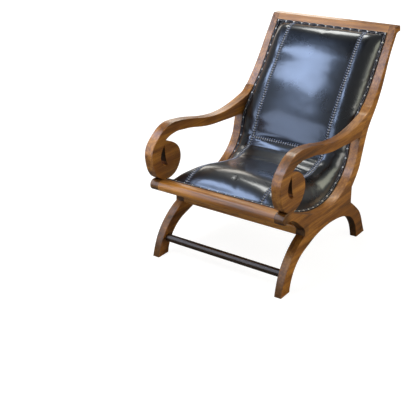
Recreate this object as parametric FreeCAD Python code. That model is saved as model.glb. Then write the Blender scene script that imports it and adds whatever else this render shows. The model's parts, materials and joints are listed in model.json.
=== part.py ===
import FreeCAD, Part
import os

from FreeCAD import Vector

os.makedirs("parts", exist_ok=True)

# A reclining planters chair in millimetres. It stands on the floor at Z = 0 and faces -Y.
# The plane X = 0 halves it, and the sitter's left is +X.

# Overall size, which the outlines of the sides follow as shares
chair_width = 640.0
chair_depth = 1030.0
chair_height = 907.0

# Timber of the two sides
board_thickness = 40.0
arm_thickness = 42.0
foot_thickness = 32.0
post_top_inset = 9.5
edge_ease = 2.5

# Cross rails and stretcher
crest_rail_height = 62.0
front_roll_depth = 69.0
lower_rail_depth = 37.0
lower_rail_height = 42.0
lower_rail_drop = 6.0
lower_rail_round = 10.0
rear_rail_depth = 40.0
rear_rail_height = 47.0
rear_rail_rise = 11.0
rear_rail_setback = 12.0
stretcher_diameter = 33.0
tenon_diameter = 20.0
tenon_length = 20.0

# Dowels and screws
dowel_diameter = 10.0
dowel_length = 36.0
dowel_end_gap = 1.0
fit_clearance = 0.1
screw_diameter = 4.0
screw_head_diameter = 8.0
screw_head_height = 3.0
screw_length = 38.0

# Cleats, webbing and lining that carry the pad
cleat_width = 22.0
cleat_depth = 25.0
webbing_thickness = 2.0
webbing_width = 50.0
webbing_pitch = 82.0
lining_thickness = 1.0

# Leather, gimp and nails
leather_thickness = 2.5
leather_edge_gap = 2.3
crest_show = 32.0
front_show = 35.0
seam_setback = 98.0
side_bulge = 17.0
centre_crown = 12.0
lumbar_crown = 5.0
full_pad_height = 45.0
flat_bulge = 0.1
gimp_width = 12.0
gimp_thickness = 2.0
nail_head_diameter = 8.4
nail_head_height = 2.6
nail_shank_diameter = 1.8
nail_shank_length = 12.0
nail_hole_clearance = 0.15
nail_seat_gap = 0.1
nail_pitch = 42.0
soft_gap = 0.3

# Working values: how far cuts run past a piece, and how near counts as the same place
overrun = 30.0
same_place = 0.02
level_points = 80

# Outlines of one side, as shares of depth from the front and of height from the floor
bed_shares = [
    (0.9534, 1.0000), (0.9359, 0.9702), (0.9223, 0.9449), (0.9058, 0.9173), (0.8806, 0.8732),
    (0.8534, 0.8236), (0.8243, 0.7740), (0.7913, 0.7244), (0.7553, 0.6792), (0.7194, 0.6340),
    (0.6825, 0.5865), (0.6553, 0.5402), (0.6437, 0.4939), (0.6393, 0.4708), (0.6350, 0.4476),
    (0.6262, 0.4245), (0.6155, 0.4035), (0.5806, 0.3583), (0.5320, 0.3208), (0.4786, 0.2944),
    (0.4204, 0.2822), (0.3621, 0.2834), (0.3039, 0.2944), (0.2456, 0.3120), (0.1922, 0.3341),
    (0.1485, 0.3550), (0.1146, 0.3727), (0.0922, 0.3848), (0.0631, 0.3931), (0.0466, 0.3925),
]
post_foot_share = (0.5806, 0.3583)
nose_shares = [(0.0466, 0.3925), (0.0282, 0.3682), (0.0447, 0.3440)]
rail_under_shares = [
    (0.0447, 0.3440), (0.0660, 0.3490), (0.1155, 0.3330), (0.1573, 0.2977), (0.1932, 0.2624),
    (0.2019, 0.2492),
]
leg_front_share = (0.2019, 0.2249)
leg_rear_share = (0.6068, 0.2249)
rail_rear_share = (0.6049, 0.3021)
post_rear_shares = [
    (0.6049, 0.3021), (0.6340, 0.3363), (0.6641, 0.3815), (0.6825, 0.4355), (0.7039, 0.5022),
    (0.7311, 0.5678), (0.7699, 0.6207), (0.8029, 0.6681), (0.8350, 0.7222), (0.8621, 0.7773),
    (0.8883, 0.8391), (0.9165, 0.8930), (0.9417, 0.9338), (0.9612, 0.9636),
]
flare_shares = [(0.9612, 0.9636), (0.9786, 0.9708), (1.0000, 0.9713)]
crest_back_share = (0.9951, 1.0000)
front_leg_shares = [
    (0.2019, 0.2249), (0.1583, 0.1996), (0.1214, 0.1687), (0.0903, 0.1334), (0.0641, 0.0904),
    (0.0466, 0.0463), (0.0340, 0.0000),
]
arch_shares = [
    (0.1010, 0.0000), (0.1087, 0.0430), (0.1252, 0.0816), (0.1612, 0.1257), (0.1961, 0.1488),
    (0.2398, 0.1654), (0.2806, 0.1797), (0.3388, 0.1918), (0.3961, 0.1963), (0.4757, 0.1907),
    (0.5369, 0.1775), (0.5816, 0.1599), (0.6146, 0.1422), (0.6398, 0.1196), (0.6631, 0.0893),
    (0.6808, 0.0496), (0.6922, 0.0000),
]
leg_split_share = (0.3961, 0.1963)
rear_leg_shares = [
    (0.7728, 0.0000), (0.7495, 0.0485), (0.7282, 0.0981), (0.7068, 0.1334), (0.6728, 0.1687),
    (0.6388, 0.1985), (0.6068, 0.2249),
]
arm_top_shares = [
    (0.7447, 0.6659), (0.7165, 0.6428), (0.6874, 0.6284), (0.6379, 0.6141), (0.5689, 0.5987),
    (0.5000, 0.5910), (0.4408, 0.5921), (0.3466, 0.6064), (0.2573, 0.6284), (0.1767, 0.6417),
    (0.1291, 0.6439), (0.0903, 0.6340), (0.0524, 0.6086), (0.0243, 0.5821), (0.0087, 0.5601),
    (0.0000, 0.5215), (0.0029, 0.4906), (0.0126, 0.4520), (0.0311, 0.4179), (0.0515, 0.4002),
    (0.0631, 0.3931),
]
scroll_shares = [
    (0.0922, 0.3848), (0.1282, 0.3903), (0.1544, 0.4057), (0.1718, 0.4278), (0.1825, 0.4520),
    (0.1845, 0.4763), (0.1806, 0.4983), (0.1709, 0.5193), (0.1534, 0.5390), (0.1272, 0.5565),
    (0.1050, 0.5665), (0.0840, 0.5730),
]
arm_under_shares = [
    (0.0840, 0.5730), (0.0955, 0.5790), (0.1126, 0.5862), (0.1388, 0.5921), (0.1718, 0.5943),
    (0.2068, 0.5899), (0.2417, 0.5854), (0.2971, 0.5733), (0.3534, 0.5601), (0.4243, 0.5502),
    (0.4922, 0.5458), (0.5621, 0.5413), (0.6214, 0.5402), (0.6524, 0.5391),
]
# Where the arm's two long curves end inside the post, before the arm is cut to the post
arm_end_shares = [(0.7630, 0.6590), (0.6728, 0.5384)]
eye_outer_shares = [
    (0.0785, 0.5570), (0.0600, 0.5290), (0.0524, 0.5035), (0.0562, 0.4810), (0.0699, 0.4600),
    (0.0961, 0.4530),
]
eye_inner_shares = [(0.0961, 0.4530), (0.0858, 0.4796), (0.0808, 0.5060), (0.0785, 0.5570)]

# The pad's surface at its long seams, one place for each bed place from first_pad_row on
first_pad_row = 2
lumbar_row = 14
row_split = 4
end_round_share = 0.72
pad_shares = [
    (0.9010, 0.9625), (0.8748, 0.9438), (0.8427, 0.9041), (0.8049, 0.8534), (0.7816, 0.8115),
    (0.7505, 0.7630), (0.7194, 0.7166), (0.6874, 0.6593), (0.6583, 0.6075), (0.6282, 0.5502),
    (0.6126, 0.5006), (0.6010, 0.4774), (0.5971, 0.4587), (0.5816, 0.4421), (0.5699, 0.4245),
    (0.5369, 0.4101), (0.5078, 0.3980), (0.4641, 0.3881), (0.4165, 0.3925), (0.3621, 0.4013),
    (0.3039, 0.4146), (0.2456, 0.4278), (0.1971, 0.4322), (0.1563, 0.4256), (0.1243, 0.4123),
]

# Places of the hidden joints and the stretcher in the outline of the side
stretcher_share = (0.0951, 0.0805)
leg_dowel_shares = [0.2330, 0.2800, 0.5300, 0.5820]
post_dowel_shares = [0.33, 0.70]
arm_dowel_shares = [(0.6680, 0.5620), (0.7020, 0.6100)]
scroll_dowel_share = (0.0780, 0.3890)
front_roll_dowel_shares = [(0.0540, 0.3700), (0.0760, 0.3590)]
crest_dowel_shares = [(0.9560, 0.9760), (0.9400, 0.9480)]
across_dowel_shares = [0.3, 0.7]
cleat_screw_shares = [0.08, 0.36, 0.64, 0.92]

# Half widths that follow from the boards
outer_x = chair_width / 2
inner_x = outer_x - board_thickness
arm_inner_x = outer_x - arm_thickness
leather_x = min(inner_x, arm_inner_x) - leather_edge_gap
border_x = leather_x - gimp_width
nail_x = leather_x - gimp_width / 2
seam_x = inner_x - seam_setback

# Levels under the flush line of the bed
leather_low = -leather_thickness
lining_high = leather_low - soft_gap
lining_low = lining_high - lining_thickness
webbing_high = lining_low - soft_gap
webbing_low = webbing_high - webbing_thickness
cleat_low = webbing_low - cleat_depth
gimp_low = soft_gap
gimp_high = gimp_low + gimp_thickness


def at(share, x=0.0):
    """The point at a share of the depth and of the height."""
    return Vector(x, (share[0] - 0.5) * chair_depth, share[1] * chair_height)


def smooth(points):
    """A smooth curve through points."""
    curve = Part.BSplineCurve()
    curve.interpolate(points)
    return curve


def line(start, end):
    return Part.LineSegment(start, end).toShape()


def arc(start, middle, end):
    return Part.Arc(start, middle, end).toShape()


def along(curve, start, end):
    """The stretch of a curve between two points on it."""
    return curve.toShape(*sorted((curve.parameter(start), curve.parameter(end))))


def face_of(edges):
    return Part.Face(Part.Wire(Part.__sortEdges__(edges)))


def board(edges, low_x, high_x):
    """A board with the outline of the edges, between two values of X."""
    face = face_of(edges)
    face.translate(Vector(low_x, 0, 0))
    return face.extrude(Vector(high_x - low_x, 0, 0))


def mirrored(shape):
    return shape.mirror(Vector(0, 0, 0), Vector(1, 0, 0))


def runs_along(edge, outline):
    """Whether an edge of a board follows one of the edges of its outline."""
    middle = sum(edge.ParameterRange) / 2
    place = edge.valueAt(middle)
    flat = Part.Vertex(0, place.y, place.z)
    across = abs(edge.tangentAt(middle).x) > 0.5
    return not across and any(flat.distToShape(each)[0] < same_place for each in outline)


def eased(solid, outline, beyond_x):
    """The board with the edges of the outline rounded where they lie past a value of X."""
    picked = [
        edge
        for edge in solid.Edges
        if edge.BoundBox.XMin > beyond_x and runs_along(edge, outline)
    ]
    return solid.makeFillet(edge_ease, picked)


# The bed line: front edge of the posts and top edge of the seat rails, from crest to nose
bed = smooth([at(share) for share in bed_shares])
bed_start = bed.FirstParameter
bed_end = bed.LastParameter
bed_length = bed.length()


def on_bed(share):
    """The point of the bed line nearest to a place in the outline."""
    return bed.value(bed.parameter(at(share)))


def bed_at(distance):
    """The bed line's parameter at a distance from the crest."""
    return bed.parameterAtDistance(distance, bed_start)


def bed_normal(parameter):
    """The direction out of the bed line, to the side of the pad."""
    tangent = bed.tangent(parameter)[0]
    return Vector(0, tangent.z, -tangent.y)


def level(height):
    """The line that runs at one height over the bed line."""
    step = (bed_end - bed_start) / level_points
    places = [bed_start + step * count for count in range(level_points + 1)]
    curve = Part.BSplineCurve()
    points = [bed.value(place) + bed_normal(place) * height for place in places]
    curve.interpolate(Points=points, Parameters=places)
    return curve


def strip(start, end, low, high, low_x, high_x):
    """A layer of the bed between two distances from the crest, two levels and two values of X."""
    first, last = bed_at(start), bed_at(end)
    lower, upper = level(low), level(high)
    edges = [
        lower.toShape(first, last),
        upper.toShape(first, last),
        line(lower.value(first), upper.value(first)),
        line(lower.value(last), upper.value(last)),
    ]
    return board(edges, low_x, high_x)


# Places along the bed line, as distances from the crest
pad_top = crest_show
pad_front = bed_length - front_show
roll_back_y = at(nose_shares[1]).y + front_roll_depth
seat_rows = [at(share) for share in bed_shares if at(share).y < at(post_foot_share).y]


def distance_at_y(y):
    """How far from the crest the seat's stretch of the bed line reaches a value of Y."""
    first, last = bed.parameter(seat_rows[0]), bed_end
    while last - first > same_place / bed_length:
        middle = (first + last) / 2
        if bed.value(middle).y > y:
            first = middle
        else:
            last = middle
    return bed.length(bed_start, first)


cleat_start = crest_rail_height + soft_gap
cleat_end = distance_at_y(roll_back_y)
cleat_joint = bed.length(bed_start, bed.parameter(at(bed_shares[lumbar_row])))


def rod(start, direction, diameter, length):
    return Part.makeCylinder(diameter / 2, length, start, direction)


def dowels_at(centres, direction):
    """Dowels centred on points, and the holes that they fit."""
    pegs, holes = [], []
    hole_length = dowel_length + 2 * dowel_end_gap
    for centre in centres:
        pegs.append(rod(centre - direction * (dowel_length / 2), direction, dowel_diameter, dowel_length))
        hole_start = centre - direction * (hole_length / 2)
        holes.append(rod(hole_start, direction, dowel_diameter + 2 * fit_clearance, hole_length))
    return pegs, holes


board_x = (inner_x + outer_x) / 2
arm_x = (arm_inner_x + outer_x) / 2

# Leg dowels stand upright across the joint of legs and rail
leg_pegs, leg_holes = dowels_at(
    [at((share, leg_front_share[1]), board_x) for share in leg_dowel_shares], Vector(0, 0, 1)
)

# Post dowels cross the slanted joint of post and rail
foot_front, foot_rear = at(post_foot_share, board_x), at(rail_rear_share, board_x)
foot_line = (foot_front - foot_rear).normalize()
foot_normal = Vector(0, foot_line.z, -foot_line.y)
post_pegs, post_holes = dowels_at(
    [foot_rear + (at(post_foot_share, board_x) - foot_rear) * share for share in post_dowel_shares],
    foot_normal,
)


def bed_dowels(share, x):
    """A dowel that crosses the bed line squarely."""
    parameter = bed.parameter(at(share))
    place = bed.value(parameter)
    return dowels_at([Vector(x, place.y, place.z)], bed_normal(parameter))


arm_pegs, arm_holes = [], []
for dowel_share in arm_dowel_shares + [scroll_dowel_share]:
    new_pegs, new_holes = bed_dowels(dowel_share, arm_x)
    arm_pegs += new_pegs
    arm_holes += new_holes

# Box of the lower front rail and of the rear seat rail: low Y, low Z, depth and height
lower_rail_y = at(leg_front_share).y
lower_rail_z = at(leg_front_share).z - lower_rail_drop
rear_rail_y = at(leg_rear_share).y - rear_rail_setback - rear_rail_depth
rear_rail_z = at(leg_rear_share).z + rear_rail_rise


def across_box(low_y, low_z, depth, height):
    """Centres of the dowels at the left end of a rectangular cross rail."""
    return [
        Vector(inner_x, low_y + depth / 2, low_z + height * share) for share in across_dowel_shares
    ]


rail_centres = {
    "front_seat_rail": [at(share, inner_x) for share in front_roll_dowel_shares],
    "crest_rail": [at(share, inner_x) for share in crest_dowel_shares],
    "lower_front_rail": across_box(lower_rail_y, lower_rail_z, lower_rail_depth, lower_rail_height),
    "rear_seat_rail": across_box(rear_rail_y, rear_rail_z, rear_rail_depth, rear_rail_height),
}
rail_joints = {name: dowels_at(places, Vector(1, 0, 0)) for name, places in rail_centres.items()}
every_rail_hole = [hole for joint in rail_joints.values() for hole in joint[1]]

# The nose and the post's top, which the cross rails repeat
nose_round = arc(*[at(share) for share in nose_shares])
nose_edges = [nose_round, smooth([at(share) for share in rail_under_shares]).toShape()]


def seat_rail_outline():
    return [
        along(bed, at(post_foot_share), bed.value(bed_end)),
        *nose_edges,
        line(at(rail_under_shares[-1]), at(leg_front_share)),
        line(at(leg_front_share), at(leg_rear_share)),
        line(at(leg_rear_share), at(rail_rear_share)),
        line(at(rail_rear_share), at(post_foot_share)),
    ]


def post_outline():
    joint_top, joint_low = on_bed(arm_top_shares[0]), on_bed(arm_under_shares[-1])
    return [
        along(bed, bed.value(bed_start), joint_top),
        along(bed, joint_top, joint_low),
        along(bed, joint_low, at(post_foot_share)),
        line(at(post_foot_share), at(rail_rear_share)),
        smooth([at(share) for share in post_rear_shares]).toShape(),
        arc(*[at(share) for share in flare_shares]),
        line(at(flare_shares[-1]), at(crest_back_share)),
        line(at(crest_back_share), bed.value(bed_start)),
    ]


def side_rail():
    outline = seat_rail_outline()
    rail = board(outline, inner_x, outer_x)
    return eased(rail, outline[1:3], board_x)


def side_post():
    """A back post, whose outer face leans in from the arm to the crest."""
    outline = post_outline()
    post = board(outline, inner_x, outer_x)
    lean_z = at(arm_top_shares[0]).z
    wedge_corners = [
        Vector(outer_x, 0, lean_z),
        Vector(outer_x - post_top_inset, 0, chair_height),
        Vector(outer_x - post_top_inset, 0, chair_height + overrun),
        Vector(outer_x + overrun, 0, chair_height + overrun),
        Vector(outer_x + overrun, 0, lean_z),
    ]
    wedge = Part.Face(Part.makePolygon(wedge_corners + wedge_corners[:1]))
    wedge.translate(Vector(0, -chair_depth, 0))
    post = post.cut(wedge.extrude(Vector(0, 2 * chair_depth, 0)))
    return eased(post, [outline[0]] + outline[4:], board_x)


def leg_taper():
    """What comes off the inner faces of the legs, from nothing at the rail."""
    top_z = at(leg_front_share).z
    inset = board_thickness - foot_thickness
    corners = [
        Vector(inner_x, 0, top_z),
        Vector(inner_x + inset, 0, 0),
        Vector(inner_x + inset, 0, -overrun),
        Vector(inner_x - overrun, 0, -overrun),
        Vector(inner_x - overrun, 0, top_z),
    ]
    wedge = Part.Face(Part.makePolygon(corners + corners[:1]))
    wedge.translate(Vector(0, -chair_depth, 0))
    return wedge.extrude(Vector(0, 2 * chair_depth, 0))


arch = smooth([at(share) for share in arch_shares])
leg_top_split = Vector(0, at(leg_split_share).y, at(leg_front_share).z)


def front_leg():
    front = smooth([at(share) for share in front_leg_shares]).toShape()
    inside = along(arch, at(arch_shares[0]), at(leg_split_share))
    outline = [
        front,
        inside,
        line(at(front_leg_shares[-1]), at(arch_shares[0])),
        line(at(leg_split_share), leg_top_split),
        line(leg_top_split, at(leg_front_share)),
    ]
    leg = board(outline, inner_x, outer_x).cut(leg_taper())
    return eased(leg, [front, inside], 0)


def rear_leg():
    rear = smooth([at(share) for share in rear_leg_shares]).toShape()
    inside = along(arch, at(leg_split_share), at(arch_shares[-1]))
    outline = [
        rear,
        inside,
        line(at(rear_leg_shares[0]), at(arch_shares[-1])),
        line(at(leg_split_share), leg_top_split),
        line(leg_top_split, at(leg_rear_share)),
    ]
    leg = board(outline, inner_x, outer_x).cut(leg_taper())
    return eased(leg, [rear, inside], 0)


def side_arm():
    """An arm that sweeps out of the post and scrolls under at the front, with a crescent eye."""
    top_end, low_end = [at(share) for share in arm_end_shares]
    toe, heel = on_bed(arm_top_shares[-1]), on_bed(scroll_shares[0])
    top = smooth([top_end] + [at(share) for share in arm_top_shares[:-1]] + [toe]).toShape()
    scroll = smooth([heel] + [at(share) for share in scroll_shares[1:]]).toShape()
    under = smooth([at(share) for share in arm_under_shares] + [low_end]).toShape()
    outline = [top, along(bed, toe, heel), scroll, under, line(top_end, low_end)]
    eye = [
        smooth([at(share) for share in eye_outer_shares]).toShape(),
        smooth([at(share) for share in eye_inner_shares]).toShape(),
    ]
    arm = board(outline, arm_inner_x, outer_x)
    arm = arm.cut(board(eye, arm_inner_x - overrun, outer_x + overrun))
    return eased(arm, [top, scroll, under], 0).cut(board(post_outline(), 0, outer_x + overrun))


def pad_rebate(start, end):
    """The step that lets the leather lie flush on a cross rail."""
    return strip(start, end, lining_high, gimp_high, -outer_x, outer_x)


roll_zone = Part.makeBox(chair_width, chair_depth, chair_height)
roll_zone.translate(Vector(-outer_x, roll_back_y - chair_depth, 0))


def front_seat_rail():
    """The roll between the two noses."""
    roll = board(seat_rail_outline(), -inner_x, inner_x)
    return roll.common(roll_zone).cut(pad_rebate(pad_front - front_roll_depth, pad_front + soft_gap))


def crest_rail():
    """The rail between the posts' tops, with the same outline."""
    rail = board(post_outline(), -inner_x, inner_x)
    parameter = bed_at(crest_rail_height)
    low_edge = bed.value(parameter)
    inward = bed_normal(parameter)
    downward = bed.tangent(parameter)[0].normalize()
    corners = [
        low_edge + inward * chair_depth,
        low_edge - inward * chair_depth,
        low_edge - inward * chair_depth + downward * chair_height,
        low_edge + inward * chair_depth + downward * chair_height,
    ]
    below = Part.Face(Part.makePolygon(corners + corners[:1]))
    below.translate(Vector(-outer_x, 0, 0))
    rail = rail.cut(below.extrude(Vector(chair_width, 0, 0)))
    return rail.cut(pad_rebate(pad_top - soft_gap, crest_rail_height + gimp_width))


def lower_front_rail():
    rail = Part.makeBox(2 * inner_x, lower_rail_depth, lower_rail_height)
    rail.translate(Vector(-inner_x, lower_rail_y, lower_rail_z))
    front_edges = [
        edge
        for edge in rail.Edges
        if edge.BoundBox.YMax < lower_rail_y + same_place and edge.BoundBox.XLength > inner_x
    ]
    return rail.makeFillet(lower_rail_round, front_edges)


def rear_seat_rail():
    rail = Part.makeBox(2 * inner_x, rear_rail_depth, rear_rail_height)
    rail.translate(Vector(-inner_x, rear_rail_y, rear_rail_z))
    return rail


across = Vector(1, 0, 0)
stretcher_end = at(stretcher_share, -outer_x)
foot_inner_x = outer_x - foot_thickness
tenon_start = at(stretcher_share, -foot_inner_x - tenon_length)
tenon_rod_length = 2 * (foot_inner_x + tenon_length)


def front_stretcher(legs):
    """A round bar whose shoulders meet the legs, with a tenon at each end."""
    bar = rod(stretcher_end, across, stretcher_diameter, chair_width)
    for leg in legs:
        bar = bar.cut(leg)
    bar = max(bar.Solids, key=lambda solid: solid.Volume)
    return bar.fuse(rod(tenon_start, across, tenon_diameter, tenon_rod_length))


def tenon_hole():
    reach = tenon_rod_length + 2 * dowel_end_gap
    start = tenon_start - across * dowel_end_gap
    return rod(start, across, tenon_diameter + 2 * fit_clearance, reach)


def cleat(start, end):
    return strip(start, end, cleat_low, webbing_low, inner_x - cleat_width, inner_x).cut(roll_zone)


def screw_places(start, end):
    """Where the screws of a cleat start, on the cleat's inner face."""
    places = []
    for share in cleat_screw_shares:
        parameter = bed_at(start + (end - start) * share)
        middle = bed.value(parameter) + bed_normal(parameter) * ((cleat_low + webbing_low) / 2)
        places.append(middle + across * (inner_x - cleat_width))
    return places


def screw(place, clearance=0.0):
    """A cleat screw with its head sunk flush, or the hole for it."""
    head = rod(place, across, screw_head_diameter + 2 * clearance, screw_head_height)
    shank = rod(place, across, screw_diameter + 2 * clearance, screw_length + clearance)
    return head.fuse(shank)


# Rows of the pad: foot on the bed line, direction, height of the leather at the long seams, crown
def border_row(distance):
    parameter = bed_at(distance)
    return bed.value(parameter), bed_normal(parameter), 0.0, flat_bulge


row_places = [bed.parameter(at(share)) for share in bed_shares[first_pad_row:]][: len(pad_shares)]
lumbar_place = row_places[lumbar_row - first_pad_row]
surface_line = Part.BSplineCurve()
surface_line.interpolate(Points=[at(share) for share in pad_shares], Parameters=row_places)


def pad_row(place):
    foot, surface = bed.value(place), surface_line.value(place)
    near_lumbar = 1 - min(1, abs(place - lumbar_place) / (row_places[1] - row_places[0]))
    crown = centre_crown + (lumbar_crown - centre_crown) * near_lumbar
    return foot, (surface - foot).normalize(), foot.distanceToPoint(surface), crown


def rounded_row(border, full):
    """A row half way from the flat border to the first full row, to round the pad's end."""
    foot = bed.value((bed.parameter(border[0]) + bed.parameter(full[0])) / 2)
    direction = (border[1] + full[1]).normalize()
    return foot, direction, full[2] * end_round_share, full[3] * end_round_share


full_rows = []
for first, last in zip(row_places, row_places[1:]):
    full_rows += [pad_row(first + (last - first) * step / row_split) for step in range(row_split)]
full_rows.append(pad_row(row_places[-1]))
top_border = [border_row(pad_top), border_row(pad_top + gimp_width)]
front_border = [border_row(pad_front - gimp_width), border_row(pad_front)]
leather_rows = [
    *top_border,
    rounded_row(top_border[1], full_rows[0]),
    *full_rows,
    rounded_row(front_border[0], full_rows[-1]),
    *front_border,
]


def side_arc(height, depth):
    """Three points of the pad's side in a row's plane, at a depth under the leather's face."""
    start, end = Vector(border_x, 0, 0), Vector(seam_x, height, 0)
    rise = (end - start).normalize()
    outward = Vector(rise.y, -rise.x, 0)
    bulge = flat_bulge + side_bulge * min(1, height / full_pad_height)
    middle = (start + end) / 2 + outward * bulge
    circle = arc(start, middle, end).Curve
    shrink = (circle.Radius - depth) / circle.Radius
    inner_start = circle.Center + (start - circle.Center) * shrink
    inner_middle = circle.Center + (middle - circle.Center) * shrink
    return inner_start, inner_middle, end - Vector(0, depth, 0)


def crown_arc(height, crown, depth, half_gap):
    """Three points of the pad's middle in a row's plane, from right to left."""
    reach = seam_x - half_gap
    level_now = height - depth
    return Vector(reach, level_now, 0), Vector(0, level_now + crown, 0), Vector(-reach, level_now, 0)


def in_row(row, point):
    foot, direction = row[:2]
    return Vector(point.x, foot.y + direction.y * point.y, foot.z + direction.z * point.y)


def section(row, pieces):
    """A closed wire in a row's plane, through lines of two points and arcs of three."""
    edges = []
    for piece in pieces:
        points = [in_row(row, point) for point in piece]
        edges.append(line(*points) if len(points) == 2 else arc(*points))
    return Part.Wire(edges)


def reverse_side(points):
    """The same points on the other side of the chair, in the other order."""
    return tuple(Vector(-point.x, point.y, 0) for point in reversed(points))


def side_leather_section(row):
    height = row[2]
    face = side_arc(height, 0.0)
    back = side_arc(height, leather_thickness)[::-1]
    high_edge, low_edge = Vector(leather_x, 0, 0), Vector(leather_x, leather_low, 0)
    pieces = [(high_edge, face[0]), face, (face[-1], back[0]), back, (back[-1], low_edge)]
    return section(row, pieces + [(low_edge, high_edge)])


def centre_leather_section(row):
    height, crown = row[2:]
    face = crown_arc(height, crown, 0.0, soft_gap)
    back = crown_arc(height, crown, leather_thickness, soft_gap)[::-1]
    return section(row, [face, (face[-1], back[0]), back, (back[-1], face[0])])


def foam_section(row):
    height, crown = row[2:]
    depth = leather_thickness + soft_gap
    left = side_arc(height, depth)
    right = reverse_side(left)
    low_left, low_right = Vector(left[0].x, leather_low, 0), Vector(-left[0].x, leather_low, 0)
    middle = crown_arc(height, crown, depth, 0.0)
    pieces = [(low_left, left[0]), left, middle, right, (right[-1], low_right)]
    return section(row, pieces + [(low_right, low_left)])


def lofted(sections):
    return Part.makeLoft(sections, True, True)


def above_lumbar():
    """Everything on the crest's side of the lumbar seam."""
    foot, direction = pad_row(lumbar_place)[:2]
    upward = Vector(0, direction.z, -direction.y)
    near, far = foot - direction * chair_depth, foot + direction * chair_depth
    corners = [near, far, far + upward * chair_height, near + upward * chair_height]
    block = Part.Face(Part.makePolygon(corners + corners[:1]))
    block.translate(Vector(-outer_x, 0, 0))
    return block.extrude(Vector(chair_width, 0, 0))


def nail_spots():
    """Places of the nails: value of X and distance from the crest."""
    first, last = pad_top + gimp_width / 2, pad_front - gimp_width / 2
    side_count = round((last - first) / nail_pitch)
    cross_count = round(2 * nail_x / nail_pitch)
    spots = []
    for count in range(side_count + 1):
        distance = first + (last - first) * count / side_count
        spots += [(nail_x, distance), (-nail_x, distance)]
    for count in range(1, cross_count):
        x = nail_x * (2 * count / cross_count - 1)
        spots += [(x, first), (x, last)]
    return spots


def dome_nail():
    """A nail with a domed head, its head's flat side at the origin."""
    half = nail_head_diameter / 2
    ball = (half**2 + nail_head_height**2) / (2 * nail_head_height)
    keep = Part.makeCylinder(nail_head_diameter, nail_head_height)
    head = Part.makeSphere(ball, Vector(0, 0, nail_head_height - ball)).common(keep)
    shank = rod(Vector(0, 0, -nail_shank_length), Vector(0, 0, 1), nail_shank_diameter, nail_shank_length)
    return head.fuse(shank)


def nail_holes(start, end, low_x=-leather_x, high_x=leather_x):
    """The holes of the nails between two distances from the crest and two values of X."""
    length = nail_shank_length + nail_shank_diameter
    width = nail_shank_diameter + 2 * nail_hole_clearance
    hole = rod(Vector(0, 0, -length), Vector(0, 0, 1), width, 2 * length)
    return [
        driven(hole, x, distance)
        for x, distance in nail_spots()
        if start < distance < end and low_x < x < high_x
    ]


def driven(shape, x, distance):
    """A copy of the shape set on the gimp, square to the bed line."""
    parameter = bed_at(distance)
    normal = bed_normal(parameter)
    place = bed.value(parameter) + normal * (gimp_high + nail_seat_gap)
    turned = FreeCAD.Rotation(Vector(0, 0, 1), normal)
    copy = shape.copy()
    copy.Placement = FreeCAD.Placement(Vector(x, place.y, place.z), turned)
    return copy


def webbing_straps():
    """Straps across the cleats, spread evenly between the cross rails."""
    count = int((cleat_end - cleat_start) / webbing_pitch)
    margin = (cleat_end - cleat_start - (count - 1) * webbing_pitch - webbing_width) / 2
    straps = []
    for each in range(count):
        start = cleat_start + margin + each * webbing_pitch
        end = start + webbing_width
        strap = strip(start, end, webbing_low, webbing_high, -leather_x, leather_x)
        straps.append(strap.cut(nail_holes(start - nail_pitch, end + nail_pitch)))
    return straps


def save(name, shape):
    if not shape.isValid():
        print("not valid:", name)
    shape.exportStep("parts/" + name + ".step")


def save_pair(name, left_shape):
    save("left_" + name, left_shape)
    save("right_" + name, mirrored(left_shape))


def build_frame():
    """Both sides and the cross rails, with the holes of their joints."""
    legs = [front_leg(), rear_leg()]
    front_legs = [legs[0], mirrored(legs[0])]
    stretcher = front_stretcher(front_legs)
    cleat_places = screw_places(cleat_start, cleat_joint) + screw_places(cleat_joint, cleat_end)
    screw_holes = [screw(place, fit_clearance) for place in cleat_places]
    side_holes = every_rail_hole + screw_holes
    save_pair("seat_rail", side_rail().cut(leg_holes + post_holes + arm_holes + side_holes))
    save_pair("back_post", side_post().cut(post_holes + arm_holes + side_holes))
    save_pair("arm", side_arm().cut(arm_holes))
    save_pair("front_leg", legs[0].cut(leg_holes + [tenon_hole()]))
    save_pair("rear_leg", legs[1].cut(leg_holes))
    save("front_stretcher", stretcher)
    rails = {
        "front_seat_rail": front_seat_rail().cut(nail_holes(cleat_end - nail_pitch, bed_length)),
        "crest_rail": crest_rail().cut(nail_holes(0, cleat_start + nail_pitch)),
        "lower_front_rail": lower_front_rail(),
        "rear_seat_rail": rear_seat_rail(),
    }
    for name, rail in rails.items():
        holes = rail_joints[name][1]
        save(name, rail.cut(holes + [mirrored(hole) for hole in holes]))
    pegs = {"leg_dowels": leg_pegs, "post_dowels": post_pegs, "arm_dowels": arm_pegs}
    pegs["rail_dowels"] = [peg for joint in rail_joints.values() for peg in joint[0]]
    pegs["cleat_screws"] = [screw(place) for place in cleat_places]
    for name, group in pegs.items():
        save(name, Part.makeCompound(group + [mirrored(peg) for peg in group]))
    left_nails = nail_holes(0, bed_length, border_x)
    back = cleat(cleat_start, cleat_joint - soft_gap / 2)
    seat = cleat(cleat_joint + soft_gap / 2, pad_front)
    save_pair("back_cleat", back.cut(screw_holes + left_nails))
    save_pair("seat_cleat", seat.cut(screw_holes + left_nails))


def build_support():
    """Webbing straps and the lining over them, between the cross rails."""
    save("cross_webbing", Part.makeCompound(webbing_straps()))
    lining = strip(cleat_start, pad_front, lining_low, lining_high, -leather_x, leather_x)
    save("hessian_lining", lining.cut(roll_zone).cut(nail_holes(0, bed_length)))


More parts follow.
